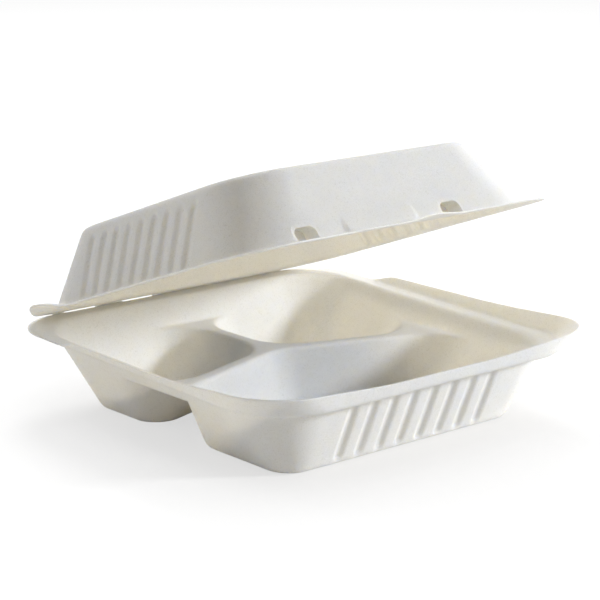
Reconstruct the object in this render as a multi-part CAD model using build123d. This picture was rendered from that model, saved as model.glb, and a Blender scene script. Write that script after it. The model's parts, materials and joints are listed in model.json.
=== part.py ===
from build123d import *

import os
from math import cos, radians, sin, tan

os.makedirs("parts", exist_ok=True)

# Molded fibre container with a three-compartment tray and a lid hinged on one long fold.
# X runs along the fold, the front is at -Y, Z is up, and the tray stands on Z = 0.

# Pressed pulp sheet
sheet = 0.8

# Rim of the tray, measured where its collar is of middle height
rim_width = 203
rim_depth = 201
rim_height = 42
rim_front_radius = 28.5
rim_flare_share = 0.9
rim_rear_radius = 28
collar_lean_deg = 18
collar_start = 58
collar_ramp = 18

# The collar's edge stands high round the front corners and dips along the front
corner_rise = 2.5
front_edge_dip = 1.2
dip_half_share = 0.35
dip_rise_share = 0.5

# Fold between tray and lid, and the ledge that falls from it towards the front
fold_drop = 2.5
ledge_fall_deg = 1.45
fold_gap = 0.15
seat_gap = 0.2
slit_length = 19
slit_width = 1.3
slit_centres = (-57, -22, 22, 57)

# Ledge between the collar and the tray's walls
side_ledge = 7.9
front_ledge = 8.2
fold_ledge = 8.1

# Tray walls, measured on the outside
floor_radius = 13
floor_round = 4.5
side_draft_deg = 29
front_draft_deg = 23.3
corner_growth_share = 0.48

# Divider: a stem to the fold and two arms swept towards the front
crest_drop = 7.9
crest_flat = 4
crest_bevel = 2.5
arm_meet_share = 0.653
arm_sweep_deg = 17.8
arm_front_draft_deg = 15
arm_rear_draft_deg = 34
stem_draft_deg = 22
front_compartment_radius = 15
front_compartment_growth_share = 0.6
rear_compartment_radius = 13
rear_compartment_growth_share = 0.45
arm_meet_radius = 30
rear_corner_share = 0.5

# Flutes of the tray's front wall
tray_flute_count = 8
tray_flute_pitch = 12.2
tray_flute_low = 5
tray_flute_top_gap = 4.9

# Flutes of the lid's side walls
lid_flute_count = 9
lid_flute_pitch = 10.4
lid_flute_low = 3.8
lid_flute_top_gap = 8

flute_width = 6.4
flute_depth = 1.5

# Straight steps that make up one rounded edge
round_steps = 3

# Lid, measured from the fold and up from the underside of its flange
lid_open_deg = 19.8
lid_height = 35.5
lid_front_radius = 31
lid_side_clearance = 0.7
lid_front_clearance = 6
lid_side_flange = 6
lid_front_flange = 10
lid_fold_flange = 10
lid_foot_radius = 32
lid_side_draft_deg = 25.5
lid_front_draft_deg = 21.2
lid_rear_draft_deg = 22.5
lid_radius_loss_share = 0.08
lid_top_round = 5
lid_wall_steps = 4

# Closure at the lid's front: two slots with a lift tab between them
closure_centre = -13
slot_spacing = 86
slot_width = 12
slot_height = 6.5
tab_width = 42
tab_reach = 1.6
tab_radius = 1.5

# Lengths that follow from the sizes above
half_width = rim_width / 2
fold_y = rim_depth / 2
side_slope_share = tan(radians(side_draft_deg))
front_slope_share = tan(radians(front_draft_deg))
sweep_share = tan(radians(arm_sweep_deg))
lean_share = tan(radians(collar_lean_deg))
wall_run = sheet / cos(radians(side_draft_deg))
collar_run = sheet / cos(radians(collar_lean_deg))
fold_height = rim_height - fold_drop
ledge_drop = rim_depth * tan(radians(ledge_fall_deg))
ledge_low = fold_height - ledge_drop
ledge_middle = fold_height - ledge_drop / 2
side_lean = (rim_height - ledge_middle) * lean_share
front_lean = (rim_height - ledge_low) * lean_share
floor_half = half_width - side_lean - side_ledge - ledge_middle * side_slope_share
floor_front = fold_y - front_lean - front_ledge - ledge_low * front_slope_share
floor_rear = fold_y - fold_ledge - fold_height * side_slope_share
arm_meet = arm_meet_share * (floor_front + floor_rear) - floor_front
crest_height = ledge_low - crest_drop
tray_flute_high = ledge_low - tray_flute_top_gap
lid_flute_high = lid_height - lid_flute_top_gap
lid_half = half_width - front_lean - collar_run - lid_side_clearance
lid_rear_radius = rim_rear_radius - (rim_height - fold_height) * lean_share
lid_reach = rim_depth - lid_front_clearance
lid_foot_half = lid_half - lid_side_flange
lid_foot_front = lid_reach - lid_front_flange
reach_over = rim_width
overlap = sheet


def rounded(points, radii):
    """Closed outline through the points, each corner with its own radius."""
    face = make_face(Polyline(*points, close=True))
    for point, radius in zip(points, radii):
        corner = face.vertices().sort_by_distance((point[0], point[1], 0))[0]
        face = fillet(corner, radius)
    return face


def tub_outline(z, inset):
    """Outline of the tray's four walls at height z."""
    x = floor_half + z * side_slope_share - inset
    front = -floor_front - z * front_slope_share + inset
    rear = floor_rear + z * side_slope_share - inset
    radius = floor_radius + z * corner_growth_share - inset
    points = ((-x, front), (x, front), (x, rear), (-x, rear))
    return Pos(0, 0, z) * rounded(points, (radius, radius, radius, radius))


def divider_half(z, draft_deg, inset):
    """Half the divider's width at height z: bevelled at the crest, drafted below."""
    bevel = min(crest_height - z, crest_bevel)
    wall = max(crest_height - crest_bevel - z, 0)
    return crest_flat / 2 + bevel + wall * tan(radians(draft_deg)) - sheet + inset


def arm_y(x, z, draft_deg, inset, side):
    """Where an arm's face crosses the distance x from the middle; side is -1 in front and 1 behind."""
    half = divider_half(z, draft_deg, inset) / cos(radians(arm_sweep_deg))
    return arm_meet - x * sweep_share + side * half


def front_outline(z, inset):
    """Outline of the large compartment at height z."""
    x = floor_half + z * side_slope_share - inset
    front = -floor_front - z * front_slope_share + inset
    wall_end = arm_y(x, z, arm_front_draft_deg, inset, -1)
    middle = arm_y(0, z, arm_front_draft_deg, inset, -1)
    outer = floor_radius + z * corner_growth_share - inset
    inner = front_compartment_radius + z * front_compartment_growth_share - inset
    points = ((-x, front), (x, front), (x, wall_end), (0, middle), (-x, wall_end))
    return Pos(0, 0, z) * rounded(points, (outer, outer, inner, arm_meet_radius, inner))


def rear_outline(z, inset):
    """Outline of the small compartment on the +X side at height z."""
    x = floor_half + z * side_slope_share - inset
    rear = floor_rear + z * side_slope_share - inset
    stem = divider_half(z, stem_draft_deg, inset)
    at_stem = arm_y(stem, z, arm_rear_draft_deg, inset, 1)
    at_wall = arm_y(x, z, arm_rear_draft_deg, inset, 1)
    outer = floor_radius + z * corner_growth_share - inset
    inner = min(rear_compartment_radius + z * rear_compartment_growth_share - inset,
                rear_corner_share * (rear - at_stem))
    points = ((stem, at_stem), (x, at_wall), (x, rear), (stem, rear))
    return Pos(0, 0, z) * rounded(points, (inner, inner, outer, inner))


def round_levels(draft_deg, radius):
    """Rounded edge between a flat and a drafted wall: each step's height off the flat and its set-back."""
    turn = 90 - draft_deg
    reach = radius * tan(radians(turn / 2))
    steps = []
    for i in range(round_steps + 1):
        angle = radians(turn * i / round_steps)
        height = radius * (1 - cos(angle))
        steps.append((height, height * tan(radians(draft_deg)) + reach - radius * sin(angle)))
    return steps


def compartment(outline, floor, crest, inset, edge_round):
    """Tapered hollow from floor to crest with a rounded floor edge."""
    edge = round_levels(side_draft_deg, edge_round)
    levels = [outline(floor + height, inset + back) for height, back in edge]
    levels += [outline(crest_height - crest_bevel, inset), outline(crest, inset)]
    return loft(levels, ruled=True)


def rim_outline(z, inset):
    """Outline of the collar at height z; the edge at the fold stays upright."""
    lean = (rim_height - z) * lean_share + inset
    x = half_width - lean
    front = -fold_y + lean
    points = ((-x, front), (x, front), (x, fold_y - fold_gap), (-x, fold_y - fold_gap))
    front_radius = rim_front_radius + (rim_height - z) * rim_flare_share - inset
    rear_radius = rim_rear_radius - lean
    return Pos(0, 0, z) * rounded(points, (front_radius, front_radius, rear_radius, rear_radius))


def above_ledge(offset):
    """Everything above the sloping ledge, moved up from the fold's plane by the offset."""
    block = Box(2 * reach_over, 4 * reach_over, reach_over, align=(Align.CENTER, Align.CENTER, Align.MIN))
    return Pos(0, fold_y, fold_height) * Rot(ledge_fall_deg, 0, 0) * Pos(0, 0, offset) * block


flute_radius = (flute_width**2 / 4 + flute_depth**2) / (2 * flute_depth)
flute_standoff = flute_radius - flute_depth


def flute(length, grow):
    """Bar along Z, from 0 to the length, pressed towards +Y and ramped out of the wall beyond both ends."""
    deep, wall, ramp = flute_radius + grow, flute_standoff + grow, flute_width / 2
    side = ((-deep, -ramp), (wall, -ramp), (deep + flute_depth, ramp),
            (deep + flute_depth, length - ramp), (wall, length + ramp), (-deep, length + ramp))
    bounds = extrude(Plane.YZ * make_face(Polyline(*side, close=True)), deep, both=True)
    bar = Cylinder(deep, length + 2 * ramp, align=(Align.CENTER, Align.CENTER, Align.MIN))
    return (Pos(0, 0, -ramp) * bar) & bounds


def tray_flutes(grow):
    """Row of flutes lying on the slope of the tray's front wall."""
    slant = cos(radians(front_draft_deg))
    length = (tray_flute_high - tray_flute_low) / slant
    start = -floor_front - tray_flute_low * front_slope_share - flute_standoff / slant
    bar = Rot(front_draft_deg, 0, 0) * flute(length, grow)
    row = Part()
    for i in range(tray_flute_count):
        x = (i - (tray_flute_count - 1) / 2) * tray_flute_pitch
        row += Pos(x, start, tray_flute_low) * bar
    return row


# Tray: the outer form less the inner form leaves one even sheet
ledge_top = above_ledge(-seat_gap / 2)
ledge_under = above_ledge(-seat_gap / 2 - sheet)
tub_top = rim_height + overlap

outer = loft([tub_outline(crest_height - sheet, 0), tub_outline(tub_top, 0)], ruled=True)
inner = loft([tub_outline(crest_height, wall_run), tub_outline(tub_top, wall_run)], ruled=True)
for outline in (front_outline, rear_outline):
    hollow_out = compartment(outline, 0, crest_height - sheet, 0, floor_round + sheet)
    hollow_in = compartment(outline, sheet, crest_height, wall_run, floor_round)
    outer += hollow_out
    inner += hollow_in
    if outline is rear_outline:
        outer += mirror(hollow_out, about=Plane.YZ)
        inner += mirror(hollow_in, about=Plane.YZ)

collar_base = ledge_low - 2 * sheet
collar_peak = rim_height + corner_rise
collar_top = collar_peak + overlap
collar_outer = loft([rim_outline(collar_base, 0), rim_outline(collar_peak, 0)], ruled=True)
collar_inner = loft([rim_outline(collar_base, collar_run), rim_outline(collar_top, collar_run)], ruled=True)

outer = (outer - ledge_top) + (collar_outer & ledge_under)
inner = inner + (collar_inner & ledge_top)
tray = (outer - tray_flutes(0)) - (inner - tray_flutes(sheet))

# The collar runs out before the fold, and the ledge stays open at the rear corners
ramp_low = fold_height - (fold_y - collar_start) * tan(radians(ledge_fall_deg)) - seat_gap / 2
ramp_end = ledge_top & (Pos(0, collar_start, 0) * Box(2 * reach_over, reach_over, reach_over,
                                                      align=(Align.CENTER, Align.MIN, Align.CENTER)))
front_low = rim_height - front_edge_dip
dip_half = dip_half_share * fold_y
dip_rise = dip_rise_share * fold_y
side_reach = dip_half + dip_rise * (collar_top - rim_height) / corner_rise
front_reach = dip_half + dip_rise * (collar_top - front_low) / (collar_peak - front_low)
side_points = ((collar_start, ramp_low), (collar_start - collar_ramp, rim_height), (-dip_half, rim_height),
               (-side_reach, collar_top), (collar_start, collar_top))
front_points = ((-dip_half, front_low), (dip_half, front_low), (front_reach, collar_top),
                (-front_reach, collar_top))
side_dips = extrude(Plane.YZ * make_face(Polyline(*side_points, close=True)), reach_over, both=True)
front_dip = extrude(Plane.XZ * make_face(Polyline(*front_points, close=True)), reach_over, both=True)
tray = tray - ramp_end - side_dips - front_dip


def slits():
    """Cuts through the sheet along the fold."""
    row = Part()
    for x in slit_centres:
        row += Pos(x, fold_y, fold_height) * Box(slit_length, slit_width, 4 * sheet)
    return row


tray = tray - slits()

# Lid, built closed with the fold at the origin and then opened
def lid_outline(h, inset):
    """Outline of the lid's four walls at height h over the seat."""
    x = lid_foot_half - h * tan(radians(lid_side_draft_deg)) - inset
    front = -lid_foot_front + h * tan(radians(lid_front_draft_deg)) + inset
    rear = -lid_fold_flange - h * tan(radians(lid_rear_draft_deg)) - inset
    radius = lid_foot_radius - h * lid_radius_loss_share - inset
    points = ((-x, front), (x, front), (x, rear), (-x, rear))
    return Pos(0, 0, h) * rounded(points, (radius, radius, radius, radius))


def lid_flutes(grow):
    """Row of flutes lying on the slope of the lid's wall on the -X side."""
    slant = cos(radians(lid_side_draft_deg))
    length = (lid_flute_high - lid_flute_low) / slant
    foot = lid_foot_half - lid_flute_low * tan(radians(lid_side_draft_deg)) + flute_standoff / slant
    middle = -(lid_foot_front + lid_fold_flange) / 2
    bar = Rot(0, 0, -90) * flute(length, grow)
    row = Part()
    for i in range(lid_flute_count):
        y = middle + (i - (lid_flute_count - 1) / 2) * lid_flute_pitch
        row += Pos(-foot, y, lid_flute_low) * Rot(0, lid_side_draft_deg, 0) * bar
    return row


def dome(foot, top, inset, edge_round, grow):
    """Lid's drafted dome with a rounded top edge and both rows of flutes."""
    edge = round_levels(lid_side_draft_deg, edge_round)
    levels = [lid_outline(top - height, inset + back) for height, back in edge]
    wall_high = top - edge_round
    rise = (wall_high - foot) / lid_wall_steps
    wall = [lid_outline(foot + i * rise, inset) for i in range(lid_wall_steps + 1)]
    body = loft(wall + levels[::-1], ruled=True)
    row = lid_flutes(grow)
    return body - row - mirror(row, about=Plane.YZ)


seat = seat_gap / 2
flange_points = ((-lid_half, -lid_reach), (lid_half, -lid_reach),
                 (lid_half, -fold_gap), (-lid_half, -fold_gap))
flange_radii = (lid_front_radius, lid_front_radius, lid_rear_radius, lid_rear_radius)
flange = extrude(Pos(0, 0, seat) * rounded(flange_points, flange_radii), sheet)

tab_back = -lid_reach + tab_width / 4
tab_front = -lid_reach - tab_reach
tab_points = ((closure_centre - tab_width / 2, tab_front), (closure_centre + tab_width / 2, tab_front),
              (closure_centre + tab_width / 2, tab_back), (closure_centre - tab_width / 2, tab_back))
tab_radii = (tab_radius, tab_radius, tab_radius, tab_radius)
tab = extrude(Pos(0, 0, seat) * rounded(tab_points, tab_radii), sheet)

dome_outer = dome(seat, lid_height, 0, lid_top_round, 0)
dome_inner = dome(seat - overlap, lid_height - sheet, wall_run, lid_top_round - sheet, sheet)
lid = (flange + tab + dome_outer) - dome_inner

for side in (-1, 1):
    x = closure_centre + side * slot_spacing / 2
    arch = Pos(x, -lid_foot_front, seat + sheet) * Box(slot_width, 4 * slot_height, slot_height,
                                                      align=(Align.CENTER, Align.CENTER, Align.MIN))
    arch = fillet(arch.edges().filter_by(Axis.Y).group_by(Axis.Z)[-1], slot_height / 2)
    lid = lid - arch

lid_at_fold = Pos(0, fold_y, fold_height) * Rot(-lid_open_deg, 0, 0)
lid = lid_at_fold * lid - slits()

export_step(tray, "parts/tray.step")
export_step(lid, "parts/lid.step")
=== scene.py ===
import json
import math
import bpy
import bmesh
import numpy as np
from mathutils import Matrix, Vector
from mathutils.geometry import delaunay_2d_cdt


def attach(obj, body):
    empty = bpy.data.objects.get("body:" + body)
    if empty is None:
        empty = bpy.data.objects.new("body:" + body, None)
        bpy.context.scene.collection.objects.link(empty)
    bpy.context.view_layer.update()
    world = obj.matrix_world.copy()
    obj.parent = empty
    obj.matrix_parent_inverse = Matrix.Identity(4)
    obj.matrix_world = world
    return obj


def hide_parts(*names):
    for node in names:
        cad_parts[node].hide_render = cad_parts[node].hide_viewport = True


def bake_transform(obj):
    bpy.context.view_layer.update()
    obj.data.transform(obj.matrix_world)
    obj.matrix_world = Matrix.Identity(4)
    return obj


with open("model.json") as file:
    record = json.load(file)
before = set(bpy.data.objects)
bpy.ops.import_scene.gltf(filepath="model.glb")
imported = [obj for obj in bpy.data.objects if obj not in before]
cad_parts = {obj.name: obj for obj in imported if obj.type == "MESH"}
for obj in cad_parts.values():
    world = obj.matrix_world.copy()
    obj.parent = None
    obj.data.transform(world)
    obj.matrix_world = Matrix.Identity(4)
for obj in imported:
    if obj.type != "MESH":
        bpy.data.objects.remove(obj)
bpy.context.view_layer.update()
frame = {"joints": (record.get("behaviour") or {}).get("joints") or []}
mm = 0.001
scene = bpy.context.scene
fold = frame["joints"][0]
foldY, foldZ = (value / mm for value in fold["pos_m"][1:])
print("frame loaded, fold at", round(foldY, 2), round(foldZ, 2))

# how meshes are drawn, lengths in millimetres here and in every piece below
drawing = dict(
    leastAngle=0.05, reachShare=0.49, bendSteps=9,  # rounded corners of a bent line
    rowShare=0.87,  # rows of an even triangular spread
    weld=0.02, sliver=0.01, tolerance=1e-6,
    foldReach=1.0,  # points this close to the fold lie on its edge
)


def slope(degrees):
    return math.tan(math.radians(degrees))


def unit(vector):
    return vector / max(np.linalg.norm(vector), 1e-9)


def roundedLoop(corners, radii, sideCounts, arcCount):
    corners = [np.array(corner, float) for corner in corners]
    arcs = []
    for i, here in enumerate(corners):
        back = unit(corners[i - 1] - here)
        ahead = unit(corners[(i + 1) % len(corners)] - here)
        half = math.acos(np.clip(back @ ahead, -1, 1)) / 2
        centre = here + unit(back + ahead) * radii[i] / math.sin(half)
        first = here + back * radii[i] / math.tan(half) - centre
        last = here + ahead * radii[i] / math.tan(half) - centre
        begin = math.atan2(first[1], first[0])
        turn = (math.atan2(last[1], last[0]) - begin + math.pi) % (2 * math.pi) - math.pi
        angles = begin + turn * np.linspace(0, 1, arcCount + 1)
        arcs.append(centre + radii[i] * np.stack([np.cos(angles), np.sin(angles)], 1))
    points = []
    for i, arc in enumerate(arcs):
        points.append(arc)
        shares = np.arange(1, sideCounts[i])[:, None] / sideCounts[i]
        points.append(arc[-1] + (arcs[(i + 1) % len(arcs)][0] - arc[-1]) * shares)
    return np.concatenate(points)


def boxLoop(half, near, far, radii, sideCounts, arcCount):
    return roundedLoop(((-half, near), (half, near), (half, far), (-half, far)), radii, sideCounts, arcCount)


def family(outline):  # an outline whose points all move in straight lines with height
    base = outline(0.0)
    step = outline(1.0) - base
    return lambda z: base + step * np.asarray(z, float).reshape(-1, 1)


def lift(points, z):  # plan points to 3D
    heights = np.broadcast_to(np.asarray(z, float).reshape(-1, 1), (len(points), 1))
    return np.concatenate([points, heights], 1)


def softLine(corners, radii, count):  # bent line with rounded corners, cut into even steps
    line = [corners[0]]
    for i in range(1, len(corners) - 1):
        back, ahead = corners[i - 1] - corners[i], corners[i + 1] - corners[i]
        half = math.acos(np.clip(unit(back) @ unit(ahead), -1, 1)) / 2
        reach = radii[i - 1] / math.tan(max(half, drawing["leastAngle"]))
        reach = min(reach, *(drawing["reachShare"] * np.linalg.norm(side) for side in (back, ahead)))
        begin, finish = corners[i] + unit(back) * reach, corners[i] + unit(ahead) * reach
        for share in np.linspace(0, 1, drawing["bendSteps"]):
            line.append(begin * (1 - share) ** 2 + corners[i] * 2 * share * (1 - share) + finish * share ** 2)
    line = np.array(line + [corners[-1]])
    length = np.concatenate([[0], np.cumsum(np.linalg.norm(np.diff(line, axis=0), axis=1))])
    steps = np.linspace(0, length[-1], count + 1)
    return np.stack([np.interp(steps, length, line[:, axis]) for axis in range(3)], 1)


def smooth(share):
    return share * share * (3 - 2 * share)


def hump(distance, reach):
    return smooth(np.clip(1 - np.abs(distance) / reach, 0, 1))


def eased(heights, reach):  # mean over the neighbours on a closed loop
    return np.mean([np.roll(heights, i) for i in range(-reach, reach + 1)], 0)


def outward(loop):  # plan normals of a loop that runs anticlockwise
    run = np.roll(loop, -1, 0) - np.roll(loop, 1, 0)
    side = np.stack([run[:, 1], -run[:, 0]], 1)
    return side / np.linalg.norm(side, axis=1, keepdims=True)


def nearest(points, others):
    return np.array([np.min(np.hypot(*(others - point).T)) for point in points])


def inside(points, loop):
    ahead = np.roll(loop, -1, 0)
    hits = np.zeros(len(points), bool)
    for (x0, y0), (x1, y1) in zip(loop, ahead):
        crosses = (y0 > points[:, 1]) != (y1 > points[:, 1])
        if y0 != y1:
            hits ^= crosses & (points[:, 0] < x0 + (points[:, 1] - y0) * (x1 - x0) / (y1 - y0))
    return hits


def spread(loop, spacing):  # evenly spread points in a loop's box
    low, high = loop.min(0), loop.max(0)
    rows = np.arange(low[1], high[1], spacing * drawing["rowShare"])
    columns = np.arange(low[0], high[0], spacing)
    return np.array([(x + spacing / 2 * (i % 2), y) for i, y in enumerate(rows) for x in columns])


def addGrid(bag, grid):  # closed ring of lines, each from its first to its last point
    ids = np.arange(grid.shape[0] * grid.shape[1]).reshape(grid.shape[:2]) + len(bag["points"])
    bag["points"].extend(grid.reshape(-1, 3))
    ahead = np.roll(ids, -1, 0)
    quads = np.stack([ids[:, :-1], ahead[:, :-1], ahead[:, 1:], ids[:, 1:]], -1).reshape(-1, 4)
    bag["faces"].extend(quads.tolist())
    return ids


def addFill(bag, outerIds, holes, loose, height):  # triangles between an outer loop and its holes
    start = len(bag["points"])
    bag["points"].extend(lift(loose, height))
    loops = [list(outerIds)] + [list(hole) for hole in holes]
    ids = [i for loop in loops for i in loop] + list(range(start, start + len(loose)))
    plan = [Vector(bag["points"][i][:2]) for i in ids]
    edges, first = [], 0
    for loop in loops:
        edges += [(first + i, first + (i + 1) % len(loop)) for i in range(len(loop))]
        first += len(loop)
    found, _, triangles, origin, _, _ = delaunay_2d_cdt(plan, edges, [], 0, drawing["tolerance"], True)
    middles = np.array([np.mean([found[i] for i in triangle], 0) for triangle in triangles])
    flat = np.array(bag["points"])[:, :2]
    keep = inside(middles, flat[loops[0]])
    for loop in loops[1:]:
        keep &= ~inside(middles, flat[loop])
    for triangle, kept in zip(triangles, keep):
        if kept and all(origin[i] for i in triangle):
            bag["faces"].append([ids[origin[i][0]] for i in triangle])


def addFlat(bag, ids, lines, spacing, height):  # even flat inside the last points of a ring of lines
    inner = lines[:, -1, :2]
    loose = spread(inner, spacing)
    loose = loose[inside(loose, inner)]
    addFill(bag, ids[:, -1], [], loose[nearest(loose, inner) > spacing / 2], height)


def linkMesh(name, work):
    mesh = bpy.data.meshes.new(name)
    work.to_mesh(mesh)
    work.free()
    thing = bpy.data.objects.new(name, mesh)
    scene.collection.objects.link(thing)
    return thing


def makeObject(name, bag):
    draft = bpy.data.meshes.new("draft")
    draft.from_pydata([tuple(point) for point in bag["points"]], [], bag["faces"])
    work = bmesh.new()
    work.from_mesh(draft)
    bpy.data.meshes.remove(draft)
    bmesh.ops.remove_doubles(work, verts=work.verts, dist=drawing["weld"])
    bmesh.ops.dissolve_degenerate(work, dist=drawing["sliver"], edges=work.edges)
    bmesh.ops.recalc_face_normals(work, faces=work.faces)
    if sum(face.normal.z * face.calc_area() for face in work.faces) < 0:
        bmesh.ops.reverse_faces(work, faces=work.faces)
    return linkMesh(name, work)


def addNode(tree, kind, inputs=None, **settings):
    node = tree.nodes.new(kind)
    for name, value in settings.items():
        setattr(node, name, value)
    for key, value in (inputs or {}).items():
        if isinstance(value, bpy.types.NodeSocket):
            tree.links.new(value, node.inputs[key])
        else:
            node.inputs[key].default_value = value
    return node


def plainMesh(thing):  # the evaluated result takes the place of the mesh and its modifiers
    result = bpy.data.meshes.new_from_object(thing.evaluated_get(bpy.context.evaluated_depsgraph_get()))
    thing.modifiers.clear()
    thing.data = result


def colour(code):  # sRGB hex to linear
    parts = [int(code[i:i + 2], 16) / 255 for i in (1, 3, 5)]
    return tuple(c / 12.92 if c <= 0.04045 else ((c + 0.055) / 1.055) ** 2.4 for c in parts) + (1.0,)


# pressed sugar-cane pulp: matt, faintly translucent, with short fibres and a slight mottle
pulpLook = dict(
    light="#F9F6F0", cream="#F4EFE4", fleck="#E2DDD0",
    mottle=16.0, mottleDetail=3.0,  # mm, cloudy change of tone
    grain=0.9, grainDetail=4.0,  # mm, fibre bundles, drawn coarser than the real 0.2 mm so that they show
    grainRough=0.7, grainTwist=1.2, grainFrom=0.25, grainTo=0.75,
    fleckSize=1.2, fleckDetail=2.0, fleckTwist=2.5,  # mm between darker flecks
    fleckFrom=0.5, fleckTo=0.72, fleckMost=0.6,
    bumpHeight=0.3, bumpStrength=0.6, roughLow=0.78, roughHigh=0.94, shine=0.25,
    glow=1.0, glowReach=(1.0, 0.86, 0.62), glowDepth=4.4,  # light that passes through the sheet turns warm
)


def pulpMaterial():
    look = pulpLook
    material = bpy.data.materials.new("pressedPulp")
    material.use_nodes = True
    tree = material.node_tree
    place = addNode(tree, "ShaderNodeTexCoord").outputs["Object"]
    cloud = addNode(tree, "ShaderNodeTexNoise", {
        "Vector": place, "Scale": 1 / (look["mottle"] * mm), "Detail": look["mottleDetail"]})
    fibre = addNode(tree, "ShaderNodeTexNoise", {
        "Vector": place, "Scale": 1 / (look["grain"] * mm), "Detail": look["grainDetail"],
        "Roughness": look["grainRough"], "Distortion": look["grainTwist"]})
    fleck = addNode(tree, "ShaderNodeTexNoise", {
        "Vector": place, "Scale": 1 / (look["fleckSize"] * mm), "Detail": look["fleckDetail"],
        "Distortion": look["fleckTwist"]})
    fleckShare = addNode(tree, "ShaderNodeMapRange", {
        "Value": fleck.outputs["Fac"], "From Min": look["fleckFrom"], "From Max": look["fleckTo"],
        "To Min": 0.0, "To Max": look["fleckMost"]})
    tone = addNode(tree, "ShaderNodeMix", {  # 6 and 7 are the two colours
        0: cloud.outputs["Fac"], 6: colour(look["light"]), 7: colour(look["cream"])}, data_type="RGBA")
    flecked = addNode(tree, "ShaderNodeMix", {
        0: fleckShare.outputs["Result"], 6: tone.outputs[2], 7: colour(look["fleck"])}, data_type="RGBA")
    rough = addNode(tree, "ShaderNodeMapRange", {
        "Value": fibre.outputs["Fac"], "From Min": look["grainFrom"], "From Max": look["grainTo"],
        "To Min": look["roughLow"], "To Max": look["roughHigh"]})
    bump = addNode(tree, "ShaderNodeBump", {
        "Height": fibre.outputs["Fac"], "Strength": look["bumpStrength"], "Distance": look["bumpHeight"] * mm})
    shader = tree.nodes["Principled BSDF"]
    for name, value in (("Subsurface Weight", look["glow"]), ("Subsurface Radius", look["glowReach"]),
                        ("Subsurface Scale", look["glowDepth"] * mm), ("Specular IOR Level", look["shine"])):
        shader.inputs[name].default_value = value
    tree.links.new(flecked.outputs[2], shader.inputs["Base Color"])
    tree.links.new(rough.outputs["Result"], shader.inputs["Roughness"])
    tree.links.new(bump.outputs["Normal"], shader.inputs["Normal"])
    return material


pulp = pulpMaterial()
print("material ready")


def startTree(name, sockets):
    tree = bpy.data.node_groups.new(name, "GeometryNodeTree")
    for socket, kind in (("Geometry", "Geometry"), *sockets, ("Material", "Material")):
        tree.interface.new_socket(socket, in_out="INPUT", socket_type="NodeSocket" + kind)
    tree.interface.new_socket("Geometry", in_out="OUTPUT", socket_type="NodeSocketGeometry")
    return tree, addNode(tree, "NodeGroupInput").outputs


def endTree(tree, given, direction, amount):  # moves every point and hands on one plain mesh
    move = addNode(tree, "ShaderNodeVectorMath", {0: direction, "Scale": amount}, operation="SCALE").outputs[0]
    moved = addNode(tree, "GeometryNodeSetPosition", {"Geometry": given["Geometry"], "Offset": move})
    whole = addNode(tree, "GeometryNodeRealizeInstances", {0: moved.outputs[0]})
    dressed = addNode(tree, "GeometryNodeSetMaterial", {"Geometry": whole.outputs[0], "Material": given["Material"]})
    addNode(tree, "NodeGroupOutput", {0: dressed.outputs[0]})
    return tree


# a row of flutes pressed into a wall, worked out for every point from its place on that wall
flutes = dict(width=6.6, depth=1.5, flatShare=0.3, edgeShare=1.05, wallReach=2.5)


def fluteTree():
    tree, given = startTree("fluteRow", (
        ("Count", "Int"), ("Pitch", "Float"), ("Width", "Float"), ("Depth", "Float"), ("Low", "Float"),
        ("High", "Float"), ("Foot", "Vector"), ("Along", "Vector"), ("Up", "Vector"), ("Inward", "Vector")))
    place = addNode(tree, "GeometryNodeInputPosition").outputs[0]
    fromFoot = addNode(tree, "ShaderNodeVectorMath", {0: place, 1: given["Foot"]}, operation="SUBTRACT").outputs[0]
    found = {}
    for name, direction in (("run", "Along"), ("rise", "Up"), ("depthIn", "Inward")):
        found[name] = addNode(tree, "ShaderNodeVectorMath", {0: fromFoot, 1: given[direction]},
                              operation="DOT_PRODUCT").outputs[1]
    steps = (  # each row: result, operation and what goes in
        ("last", "SUBTRACT", "Count", 1.0),
        ("pitches", "DIVIDE", "run", "Pitch"),
        ("counted", "MULTIPLY_ADD", "last", 0.5, "pitches"),
        ("whole", "ROUND", "counted"),
        ("capped", "MINIMUM", "whole", "last"),
        ("number", "MAXIMUM", "capped", 0.0),
        ("fromMiddle", "MULTIPLY_ADD", "last", -0.5, "number"),
        ("middle", "MULTIPLY", "fromMiddle", "Pitch"),
        ("across", "SUBTRACT", "run", "middle"),
        ("under", "SUBTRACT", "Low", "rise"),
        ("over", "SUBTRACT", "rise", "High"),
        ("outside", "MAXIMUM", "under", "over"),
        ("beyond", "MAXIMUM", "outside", 0.0),
        ("acrossSquare", "MULTIPLY", "across", "across"),
        ("beyondSquare", "MULTIPLY", "beyond", "beyond"),
        ("square", "ADD", "acrossSquare", "beyondSquare"),
        ("reach", "SQRT", "square"),
        ("twice", "MULTIPLY", "reach", 2.0),
        ("share", "DIVIDE", "twice", "Width"),
        ("offWall", "ABSOLUTE", "depthIn"),
        ("onWall", "LESS_THAN", "offWall", flutes["wallReach"]),
    )
    for name, operation, *inputs in steps:
        inputs = [(found.get(value) or given[value]) if isinstance(value, str) else value for value in inputs]
        found[name] = addNode(tree, "ShaderNodeMath", dict(enumerate(inputs)), operation=operation).outputs[0]
    dip = addNode(tree, "ShaderNodeMapRange", {
        "Value": found["share"], "From Min": flutes["flatShare"], "From Max": flutes["edgeShare"],
        "To Min": 1.0, "To Max": 0.0}, interpolation_type="SMOOTHSTEP").outputs["Result"]
    amount = dip
    for factor in (found["onWall"], given["Depth"]):
        amount = addNode(tree, "ShaderNodeMath", {0: amount, 1: factor}, operation="MULTIPLY").outputs[0]
    return endTree(tree, given, given["Inward"], amount)


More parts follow.
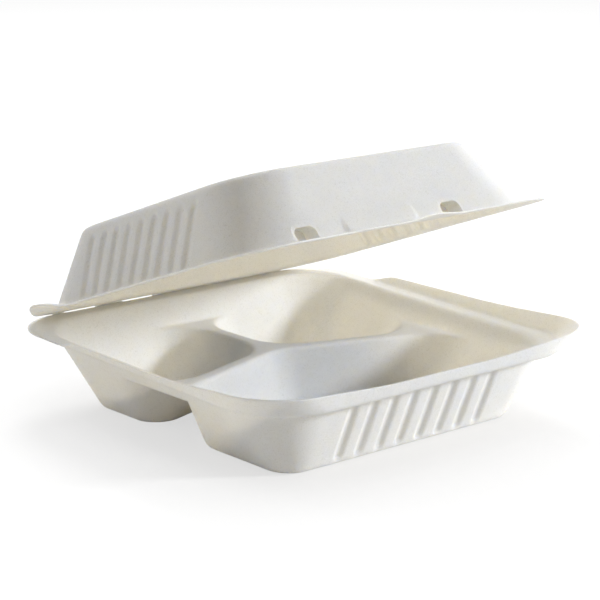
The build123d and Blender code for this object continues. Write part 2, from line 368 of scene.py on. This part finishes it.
# the slow unevenness of a sheet that dried on its mould
def wavyTree():
    tree, given = startTree("driedSheet", (("Size", "Float"), ("Height", "Float"), ("Seed", "Float")))
    scale = addNode(tree, "ShaderNodeMath", {0: 1.0, 1: given["Size"]}, operation="DIVIDE").outputs[0]
    noise = addNode(tree, "ShaderNodeTexNoise", {"Scale": scale, "W": given["Seed"], "Detail": 2.0},
                    noise_dimensions="4D")
    centred = addNode(tree, "ShaderNodeVectorMath", {0: noise.outputs["Color"], 1: (0.5, 0.5, 0.5)},
                      operation="SUBTRACT").outputs[0]
    return endTree(tree, given, centred, given["Height"])


fluteRow, driedSheet = fluteTree(), wavyTree()


def addTree(thing, tree, values):
    modifier = thing.modifiers.new(tree.name, "NODES")
    modifier.node_group = tree
    for item in tree.interface.items_tree:
        if item.in_out == "INPUT" and item.name in values:
            modifier[item.identifier] = values[item.name]


def addFlutes(thing, row, draft, foot, along, up, inward):
    lay = math.cos(math.radians(draft))
    addTree(thing, fluteRow, {
        "Count": row["count"], "Pitch": row["pitch"], "Width": flutes["width"], "Depth": flutes["depth"],
        "Low": row["low"] / lay, "High": row["high"] / lay, "Foot": foot, "Along": along, "Up": up,
        "Inward": inward, "Material": pulp})


# what pressing and drying do to both shells
sheetFinish = dict(easeFactor=0.5, easeSteps=3, edgeSegments=2, edgeAngle=55.0, sharpAngle=50.0)


def soften(thing):  # eases the creases but leaves the free edge where it is
    work = bmesh.new()
    work.from_mesh(thing.data)
    inner = [vert.index for vert in work.verts if not vert.is_boundary]
    work.free()
    thing.vertex_groups.new(name="inner").add(inner, 1.0, "REPLACE")
    ease = thing.modifiers.new("pressedSoft", "SMOOTH")
    ease.factor, ease.iterations, ease.vertex_group = sheetFinish["easeFactor"], sheetFinish["easeSteps"], "inner"


def thicken(thing, shape):  # one even sheet under the surface, its cut edges eased
    addTree(thing, driedSheet, {"Size": shape["waveSize"], "Height": shape["waveHeight"],
                                "Seed": shape["waveSeed"], "Material": pulp})
    solid = thing.modifiers.new("sheet", "SOLIDIFY")
    solid.thickness, solid.offset = shape["sheet"], -1
    solid.use_even_offset = solid.use_quality_normals = True
    edge = thing.modifiers.new("cutEdge", "BEVEL")
    edge.width, edge.segments = shape["edgeRound"], sheetFinish["edgeSegments"]
    edge.limit_method, edge.angle_limit = "ANGLE", math.radians(sheetFinish["edgeAngle"])


def dress(thing):
    thing.data.materials.clear()
    thing.data.materials.append(pulp)
    thing.data.shade_smooth()
    thing.data.set_sharp_from_angle(angle=math.radians(sheetFinish["sharpAngle"]))
    print(thing.name, len(thing.data.polygons), "faces")


def finishShell(thing, place, body):
    thing.data.transform(place @ Matrix.Scale(mm, 4))
    dress(thing)
    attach(thing, body)
    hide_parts(body)


# tray: collar, ledge and walls in one band, three compartments below it and the divider's crest between them
trayShape = dict(
    sheet=0.8, edgeRound=0.22, waveSize=34.0, waveHeight=0.16, waveSeed=3.0,
    rimHalf=101.5, rimTop=42.0, frontRadius=28.5, flare=0.9, rearRadius=28.0, lean=18.0,
    collarEnd=58.0, collarRamp=18.0, cornerRise=2.5, frontDip=1.2, dipHalf=35.2, dipRise=50.2, rimEase=12,
    sag=1.8, sagAt=-22.0, sagReach=60.0, sagSide=-80.0,  # the left side dried lower than the right
    ledgeFall=1.45, foldGap=0.15, seatGap=0.2,
    floorHalf=71.5, floorFront=75.0, floorRear=70.5, floorRadius=13.0, floorRound=4.5,
    sideDraft=29.0, frontDraft=23.3, cornerGrowth=0.48,
    crest=26.5, crestHalf=4.5, crestBevel=2.5, crestRound=3.4, crestShare=0.8, crestReach=2.6,
    armMeet=20.0, armSweep=17.8, armFront=15.0, armRear=34.0, stemDraft=22.0, meetRadius=30.0,
    frontRound=15.0, frontGrowth=0.6, rearRound=13.0, rearGrowth=0.45,
    collarFoot=2.0, ledgeEdge=2.4, join=27.8, wallTop=26.2, wallMeets=0.75, floorReach=7.0,
    slitLength=19.0, slitHalf=0.65, slits=(-57.0, -22.0),  # the two slits of the right half are pressed shut
    sideSteps=(150, 104, 113, 104), cornerSteps=42, bandSteps=19, wallSteps=30,
    frontSteps=(150, 40, 46, 46, 40), frontCornerSteps=20, rearSteps=(34, 36, 34, 26), rearCornerSteps=18,
    floorSpacing=3.2, crestSpacing=1.6, creaseGap=1.0, crestGap=0.9,
)
trayFlutes = dict(count=8, pitch=12.2, low=5.0, high=29.5)


def slitGap(x):
    half = trayShape["slitLength"] / 2
    inSlit = any(abs(x - middle) < half for middle in trayShape["slits"])
    return trayShape["slitHalf"] if inSlit else trayShape["foldGap"]


def buildTray():
    shape = trayShape
    lean = slope(shape["lean"])
    wallRun = shape["sheet"] / math.cos(math.radians(shape["sideDraft"]))
    collarRun = shape["sheet"] / math.cos(math.radians(shape["lean"]))
    side, front = slope(shape["sideDraft"]), slope(shape["frontDraft"])

    def rimOutline(z):
        inset = (shape["rimTop"] - z) * lean + collarRun
        frontRadius = shape["frontRadius"] + (shape["rimTop"] - z) * shape["flare"] - collarRun
        radii = [frontRadius] * 2 + [shape["rearRadius"] - inset] * 2
        return boxLoop(shape["rimHalf"] - inset, -foldY + inset, foldY - shape["foldGap"], radii,
                       shape["sideSteps"], shape["cornerSteps"])

    def walls(z):
        return (shape["floorHalf"] + z * side - wallRun, -shape["floorFront"] - z * front + wallRun,
                shape["floorRear"] + z * side - wallRun, shape["floorRadius"] + z * shape["cornerGrowth"] - wallRun)

    def tubOutline(z):
        x, near, far, radius = walls(z)
        return boxLoop(x, near, far, [radius] * 4, shape["sideSteps"], shape["cornerSteps"])

    def dividerHalf(z, draft):
        straight = shape["crest"] - shape["crestBevel"] - z
        return shape["crestHalf"] + straight * slope(draft) - shape["sheet"] + wallRun

    def armY(x, z, draft, facing):
        return (shape["armMeet"] - x * slope(shape["armSweep"])
                + facing * dividerHalf(z, draft) / math.cos(math.radians(shape["armSweep"])))

    def frontOutline(z):
        x, near, _, outer = walls(z)
        atWall, atMiddle = (armY(place, z, shape["armFront"], -1) for place in (x, 0))
        inner = shape["frontRound"] + z * shape["frontGrowth"] - wallRun
        corners = ((-x, near), (x, near), (x, atWall), (0, atMiddle), (-x, atWall))
        radii = (outer, outer, inner, shape["meetRadius"], inner)
        return roundedLoop(corners, radii, shape["frontSteps"], shape["frontCornerSteps"])

    def rightOutline(z):
        x, _, far, outer = walls(z)
        stem = dividerHalf(z, shape["stemDraft"])
        inner = shape["rearRound"] + z * shape["rearGrowth"] - wallRun
        atStem, atWall = (armY(place, z, shape["armRear"], 1) for place in (stem, x))
        corners = ((stem, atStem), (x, atWall), (x, far), (stem, far))
        return roundedLoop(corners, (inner, inner, outer, inner), shape["rearSteps"], shape["rearCornerSteps"])

    def leftOutline(z):
        return (rightOutline(z) * (-1, 1))[::-1]

    def ledgeHeight(y):
        return foldZ - shape["seatGap"] / 2 - (foldY - y) * slope(shape["ledgeFall"])

    bag = dict(points=[], faces=[])
    rim, tub = family(rimOutline), family(tubOutline)

    # band from the collar's top, high at the front corners, over the ledge to the walls above the crest
    flat = rim(shape["rimTop"])
    ledge = ledgeHeight(rim(ledgeHeight(flat[:, 1]))[:, 1])
    peak, low = shape["rimTop"] + shape["cornerRise"], shape["rimTop"] - shape["frontDip"]
    rising = (shape["dipHalf"], shape["dipHalf"] + shape["dipRise"])
    alongSide = np.interp(-flat[:, 1], rising, (shape["rimTop"], peak))
    onLeft = flat[:, 0] < shape["sagSide"]
    alongSide -= shape["sag"] * onLeft * hump(flat[:, 1] - shape["sagAt"], shape["sagReach"])
    alongFront = np.interp(np.abs(flat[:, 0]), rising, (low, peak))
    ramp = smooth(np.clip((shape["collarEnd"] - flat[:, 1]) / shape["collarRamp"], 0, 1))
    top = ledge + (eased(np.minimum(alongSide, alongFront), shape["rimEase"]) - ledge) * ramp
    collarTop, collarFoot = lift(rim(top), top), lift(rim(ledge), ledge)
    tubTop = ledgeHeight(tub(ledge)[:, 1])
    wallTop, wallLow = lift(tub(tubTop), tubTop), lift(tub(shape["join"]), shape["join"])
    for i, point in enumerate(collarFoot):
        if point[1] > foldY - drawing["foldReach"]:
            collarTop[i, 1] = collarFoot[i, 1] = foldY - slitGap(point[0])
    band = np.array([softLine(list(line), (shape["collarFoot"], shape["ledgeEdge"]), shape["bandSteps"])
                     for line in zip(collarTop, collarFoot, wallTop, wallLow)])
    bandIds = addGrid(bag, band)

    # compartments, each from its share of the crest down to its floor
    rooms = [family(outline) for outline in (frontOutline, rightOutline, leftOutline)]
    crests = [room(shape["crest"]) for room in rooms]
    tubCrest = tub(shape["crest"])
    holes = []
    for k, room in enumerate(rooms):
        edge, foot, wall = crests[k], room(shape["sheet"]), room(shape["wallTop"])
        others = np.concatenate([loop for j, loop in enumerate(crests) if j != k])
        toWall = nearest(edge, tubCrest)
        flatWidth = 0.5 * np.minimum(nearest(edge, others), toWall)
        facing, floorFacing = outward(edge), outward(foot)
        lines = []
        for i in range(len(edge)):
            line = [np.append(foot[i], shape["sheet"]),
                    np.append(foot[i] - floorFacing[i] * shape["floorReach"], shape["sheet"])]
            radii = (shape["floorRound"],)
            if toWall[i] < shape["wallMeets"]:
                line = [np.append(wall[i], shape["wallTop"])] + line
            else:
                crestOut = edge[i] + facing[i] * min(flatWidth[i] * shape["crestShare"], shape["crestReach"])
                line = [np.append(point, shape["crest"]) for point in (crestOut, edge[i])] + line
                radii = (shape["crestRound"],) + radii
            lines.append(softLine(line, radii, shape["wallSteps"]))
        ids = addGrid(bag, np.array(lines))
        holes.append(ids[:, 0])
        addFlat(bag, ids, np.array(lines), shape["floorSpacing"], shape["sheet"])

    # crest between the compartments and the walls
    rims = [np.array(bag["points"])[hole][:, :2] for hole in holes]
    tops = np.concatenate(rims)
    crease = tubCrest[nearest(tubCrest, tops) > shape["creaseGap"]]
    loose = spread(band[:, -1, :2], shape["crestSpacing"])
    loose = loose[inside(loose, tubCrest)]
    for loop in rims:
        loose = loose[~inside(loose, loop)]
    loose = loose[(nearest(loose, tops) > shape["crestGap"]) & (nearest(loose, tubCrest) > shape["crestGap"])]
    addFill(bag, bandIds[:, -1], holes, np.concatenate([crease, loose]), shape["crest"])

    tray = makeObject("trayShell", bag)
    soften(tray)
    lay = math.radians(shape["frontDraft"])
    addFlutes(tray, trayFlutes, shape["frontDraft"], (0, -shape["floorFront"] + wallRun, 0), (1, 0, 0),
              (0, -math.sin(lay), math.cos(lay)), (0, math.cos(lay), math.sin(lay)))
    thicken(tray, shape)
    plainMesh(tray)
    finishShell(tray, Matrix.Identity(4), "tray")


# lid: flange, drafted dome and rounded top, drawn closed and then swung to the photo's angle
lidShape = dict(
    sheet=0.8, edgeRound=0.22, waveSize=38.0, waveHeight=0.16, waveSeed=8.0,
    open=19.8, seat=0.1, foldGap=0.15,
    reach=195.0, half=97.49, frontRadius=31.0, rearRadius=27.19,
    footHalf=91.5, footFront=185.0, footRear=10.0, footRadius=32.0, radiusLoss=0.08, footEase=1.0,
    sideDraft=25.5, frontDraft=21.2, rearDraft=22.5, height=35.5,
    footRound=2.4, topRound=5.0, topReach=11.0,
    earCurl=4.0, earAt=(-97.0, -22.0), earReach=30.0,  # the flange's free corner at the fold has curled up
    earFrom=6.0, earEase=8.0, earTop=1.0,
    sideSteps=(104, 150, 110, 150), cornerSteps=36, lineSteps=44, topSpacing=4.0,
)
lidFlutes = dict(count=9, pitch=10.4, low=3.8, high=27.5)
closure = dict(
    centre=-13.0, spacing=86.0,
    slotWidth=12.0, slotHeight=6.5, slotRound=3.2, slotFloor=0.05, slotStart=-13.0, pocketDepth=9.0, archSteps=7,
    padWidth=14.5, padHeight=8.0, padStart=0.4, padDepth=10.5,
    tabWidth=42.0, tabReach=1.6, tabEase=1.2, rise=1.5, riseAt=9.0, riseReach=18.0,
    rest=1.3, restAt=1.5, restHeight=8.0, restFrom=170.0, restEase=4.0,
)


def slotBars(name, base, width, high, near, far):  # two arched bars that follow the slope of the front wall
    work = bmesh.new()
    half, curve, lean = width / 2, closure["slotRound"], slope(lidShape["frontDraft"])
    arch = [(-half, closure["slotFloor"]), (half, closure["slotFloor"])]
    for share in np.linspace(0, math.pi / 2, closure["archSteps"]):
        arch.append((half - curve + curve * math.cos(share), high - curve + curve * math.sin(share)))
    for share in np.linspace(math.pi / 2, math.pi, closure["archSteps"]):
        arch.append((-half + curve + curve * math.cos(share), high - curve + curve * math.sin(share)))
    for facing in (-1, 1):
        x = closure["centre"] + facing * closure["spacing"] / 2
        rings = [[work.verts.new((x + px, -lidShape["footFront"] + (base + pz) * lean + depth, base + pz))
                  for px, pz in arch] for depth in (near, far)]
        for i in range(len(arch)):
            work.faces.new((rings[0][i - 1], rings[0][i], rings[1][i], rings[1][i - 1]))
        for ring in rings:
            work.faces.new(ring)
    bmesh.ops.recalc_face_normals(work, faces=work.faces)
    return linkMesh(name, work)


def buildLid():
    shape = lidShape
    flangeTop = shape["seat"] + shape["sheet"]

    def domeOutline(h):
        x = shape["footHalf"] - h * slope(shape["sideDraft"])
        near = -shape["footFront"] + h * slope(shape["frontDraft"])
        far = -shape["footRear"] - h * slope(shape["rearDraft"])
        radius = shape["footRadius"] - h * shape["radiusLoss"]
        return boxLoop(x, near, far, [radius] * 4, shape["sideSteps"], shape["cornerSteps"])

    bag = dict(points=[], faces=[])
    dome = family(domeOutline)
    foot, head = dome(flangeTop), dome(shape["height"])
    flangeRadii = [shape["frontRadius"]] * 2 + [shape["rearRadius"]] * 2
    edge = boxLoop(shape["half"], -shape["reach"], -shape["foldGap"], flangeRadii, shape["sideSteps"],
                   shape["cornerSteps"])
    for point in edge:
        if point[1] > -drawing["foldReach"]:
            point[1] = -slitGap(point[0])
    topIn = head - outward(head) * shape["topReach"]
    heights = (flangeTop, flangeTop, shape["height"], shape["height"])
    lines = np.array([softLine([np.append(point, h) for point, h in zip(line, heights)],
                               (shape["footRound"], shape["topRound"]), shape["lineSteps"])
                      for line in zip(edge, foot, head, topIn)])

    # lift tab at the front edge, with a shallow thumb rest on the wall above it
    x, y, h = lines[..., 0], lines[..., 1], lines[..., 2]
    flangeFrom = shape["footFront"]
    atEdge = np.clip((-y - flangeFrom - shape["footEase"]) / (shape["reach"] - flangeFrom - shape["footEase"]), 0, 1)
    tabHalf = closure["tabWidth"] / 2 + closure["tabEase"] / 2
    onTab = np.clip((tabHalf - np.abs(x - closure["centre"])) / closure["tabEase"], 0, 1)
    rest = onTab * hump(h - flangeTop - closure["restAt"], closure["restHeight"])
    rest = rest * np.clip((-y - closure["restFrom"]) / closure["restEase"], 0, 1)
    lines[..., 1] -= closure["tabReach"] * onTab * atEdge + closure["rest"] * rest * (1 - atEdge)
    lines[..., 2] += closure["rise"] * atEdge * hump(x - closure["riseAt"], closure["riseReach"])

    onFlange = np.clip((np.abs(x) - shape["footHalf"] + shape["earFrom"]) / shape["earEase"], 0, 1)
    ear = hump(np.hypot(x - shape["earAt"][0], y - shape["earAt"][1]), shape["earReach"])
    lines[..., 2] += shape["earCurl"] * onFlange * ear * (h < flangeTop + shape["earTop"])

    ids = addGrid(bag, lines)
    addFlat(bag, ids, lines, shape["topSpacing"], shape["height"])
    lid = makeObject("lidShell", bag)
    soften(lid)
    lay = math.radians(shape["sideDraft"])
    middle = -(shape["footFront"] + shape["footRear"]) / 2
    for facing in (-1, 1):
        addFlutes(lid, lidFlutes, shape["sideDraft"], (facing * shape["footHalf"], middle, 0), (0, 1, 0),
                  (-facing * math.sin(lay), 0, math.cos(lay)), (-facing * math.cos(lay), 0, -math.sin(lay)))
    thicken(lid, shape)
    tools = (slotBars("pads", flangeTop, closure["padWidth"], closure["padHeight"], closure["padStart"],
                      closure["padDepth"]),
             slotBars("slots", flangeTop, closure["slotWidth"], closure["slotHeight"], closure["slotStart"],
                      closure["pocketDepth"]))
    for tool, operation in zip(tools, ("UNION", "DIFFERENCE")):  # a pad behind each slot leaves a dark pocket
        cut = lid.modifiers.new(tool.name, "BOOLEAN")
        cut.operation, cut.solver, cut.object = operation, "EXACT", tool
    plainMesh(lid)
    for tool in tools:
        bpy.data.objects.remove(tool)
    place = Matrix.Translation((0, foldY * mm, foldZ * mm)) @ Matrix.Rotation(-math.radians(shape["open"]), 4, "X")
    finishShell(lid, place, "lid")


# fold: the sheet turns over in a small round bead, broken by the slits
foldShape = dict(half=73.0, inner=0.1, outer=0.82, tail=0.6, step=3.0, turns=12)


def buildFold():
    shape = foldShape
    work = bmesh.new()
    half = trayShape["slitLength"] / 2
    cuts = [-shape["half"]]
    for middle in trayShape["slits"]:
        cuts += [middle - half, middle + half]
    cuts.append(shape["half"])
    opened = math.radians(lidShape["open"])
    angles = np.linspace(-math.pi / 2, math.pi / 2 - opened, shape["turns"] + 1)
    back = np.array([-math.cos(opened), math.sin(opened)])
    section = []
    for radius, order in ((shape["outer"], 1), (shape["inner"], -1)):
        arc = [np.array([math.cos(a), math.sin(a)]) * radius for a in angles]
        arc = [arc[0] + (-shape["tail"], 0)] + arc + [arc[-1] + back * shape["tail"]]
        section += arc[::order]
    for begin, finish in zip(cuts[::2], cuts[1::2]):
        steps = max(2, round((finish - begin) / shape["step"]))
        rings = [[work.verts.new((x * mm, (foldY + y) * mm, (foldZ + z) * mm)) for y, z in section]
                 for x in np.linspace(begin, finish, steps + 1)]
        for ring, ahead in zip(rings, rings[1:]):
            for i in range(len(section)):
                work.faces.new((ring[i], ring[i - 1], ahead[i - 1], ahead[i]))
        for ring in (rings[0], rings[-1]):
            for i in range(len(section) // 2 - 1):
                work.faces.new((ring[i], ring[i + 1], ring[-2 - i], ring[-1 - i]))
    bmesh.ops.recalc_face_normals(work, faces=work.faces)
    crease = linkMesh("foldCrease", work)
    dress(crease)
    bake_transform(crease)


buildTray()
buildLid()
buildFold()


# white sweep: the camera sees it as paper white, with a painted contact shadow that darkens it softly close to the
# object
studio = dict(
    floorSize=9.0, floor="#F2F2F2", shade="#8C8C8C", white="#FFFFFF", ambient=0.15,
    # painted contact shadow: glow strength next to the object and far from it, and how far the painted darkening
    # reaches
    contact=0.64, open=0.88, shadowReach=0.11, shadowFrom=0.35, shadowSamples=16,
)


def buildFloor():
    mesh = bpy.data.meshes.new("floor")
    reach = studio["floorSize"] / 2
    corners = [(x * reach, y * reach, 0) for x, y in ((-1, -1), (1, -1), (1, 1), (-1, 1))]
    mesh.from_pydata(corners, [], [(0, 1, 2, 3)])
    floor = bpy.data.objects.new("floor", mesh)
    scene.collection.objects.link(floor)
    material = bpy.data.materials.new("whiteSweep")
    material.use_nodes = True
    tree = material.node_tree
    tree.nodes.remove(tree.nodes["Principled BSDF"])
    seen = addNode(tree, "ShaderNodeLightPath").outputs["Is Camera Ray"]
    matt = addNode(tree, "ShaderNodeBsdfDiffuse", {"Color": colour(studio["floor"])})
    shaded = addNode(tree, "ShaderNodeBsdfDiffuse", {"Color": colour(studio["shade"])})
    # painted contact shadow: the white glow the camera sees is turned down by occlusion where the object is near
    near = addNode(tree, "ShaderNodeAmbientOcclusion", {"Distance": studio["shadowReach"]},
                   samples=studio["shadowSamples"])
    paintedShade = addNode(tree, "ShaderNodeMapRange", {
        "Value": near.outputs["AO"], "From Min": studio["shadowFrom"], "From Max": 1.0,
        "To Min": studio["contact"], "To Max": studio["open"]})
    glow = addNode(tree, "ShaderNodeEmission", {"Strength": paintedShade.outputs["Result"]})
    paper = addNode(tree, "ShaderNodeAddShader", {0: shaded.outputs[0], 1: glow.outputs[0]})
    both = addNode(tree, "ShaderNodeMixShader", {0: seen, 1: matt.outputs[0], 2: paper.outputs[0]})
    tree.links.new(both.outputs[0], tree.nodes["Material Output"].inputs["Surface"])
    mesh.materials.append(material)


def buildWorld():  # white to the camera, a dim fill to everything else
    world = bpy.data.worlds.new("studio")
    scene.world = world
    world.use_nodes = True
    tree = world.node_tree
    soft = tree.nodes["Background"]
    soft.inputs["Strength"].default_value = studio["ambient"]
    soft.inputs["Color"].default_value = colour(studio["white"])
    white = addNode(tree, "ShaderNodeBackground", {"Color": colour(studio["white"]), "Strength": 1.0})
    seen = addNode(tree, "ShaderNodeLightPath").outputs["Is Camera Ray"]
    mixed = addNode(tree, "ShaderNodeMixShader", {0: seen, 1: soft.outputs[0], 2: white.outputs[0]})
    tree.links.new(mixed.outputs[0], tree.nodes["World Output"].inputs["Surface"])


# soft boxes: place and size in metres, power in watts
lampAim = (0, 0, 0.03)
lamps = (
    dict(name="keyBox", place=(1.04, -1.20, 0.61), size=0.22, power=24.0),
    dict(name="fillBox", place=(-1.20, 0.88, 0.58), size=1.1, power=3.8),
    dict(name="rearRightBox", place=(0.68, 0.99, 1.20), size=0.6, power=16.0),  # through the lid, warms the inside
    dict(name="rearLeftBox", place=(-0.56, 0.96, 1.15), size=0.6, power=2.5),
)


def buildLamps():
    for lamp in lamps:
        data = bpy.data.lights.new(lamp["name"], "AREA")
        data.shape, data.size, data.energy = "DISK", lamp["size"], lamp["power"]
        light = bpy.data.objects.new(lamp["name"], data)
        scene.collection.objects.link(light)
        light.location = lamp["place"]
        aim = Vector(lampAim) - light.location
        light.rotation_euler = aim.to_track_quat("-Z", "Y").to_euler()


# the photo's view, from the front left and a little above; metres, with lens and sensor in millimetres
view = dict(eye=(-0.6070, -0.7115, 0.2878), look=(0.63004309, 0.7377033, -0.24256864),
            lens=121.75, sensor=36.0, near=0.01, far=30.0)


def buildCamera():
    data = bpy.data.cameras.new("photoCamera")
    data.lens, data.sensor_width = view["lens"], view["sensor"]
    data.clip_start, data.clip_end = view["near"], view["far"]
    camera = bpy.data.objects.new("photoCamera", data)
    scene.collection.objects.link(camera)
    camera.location = view["eye"]
    camera.rotation_euler = Vector(view["look"]).to_track_quat("-Z", "Y").to_euler()
    scene.camera = camera


buildFloor()
buildWorld()
buildLamps()
buildCamera()
scene.view_settings.view_transform = "Standard"
print("studio ready")
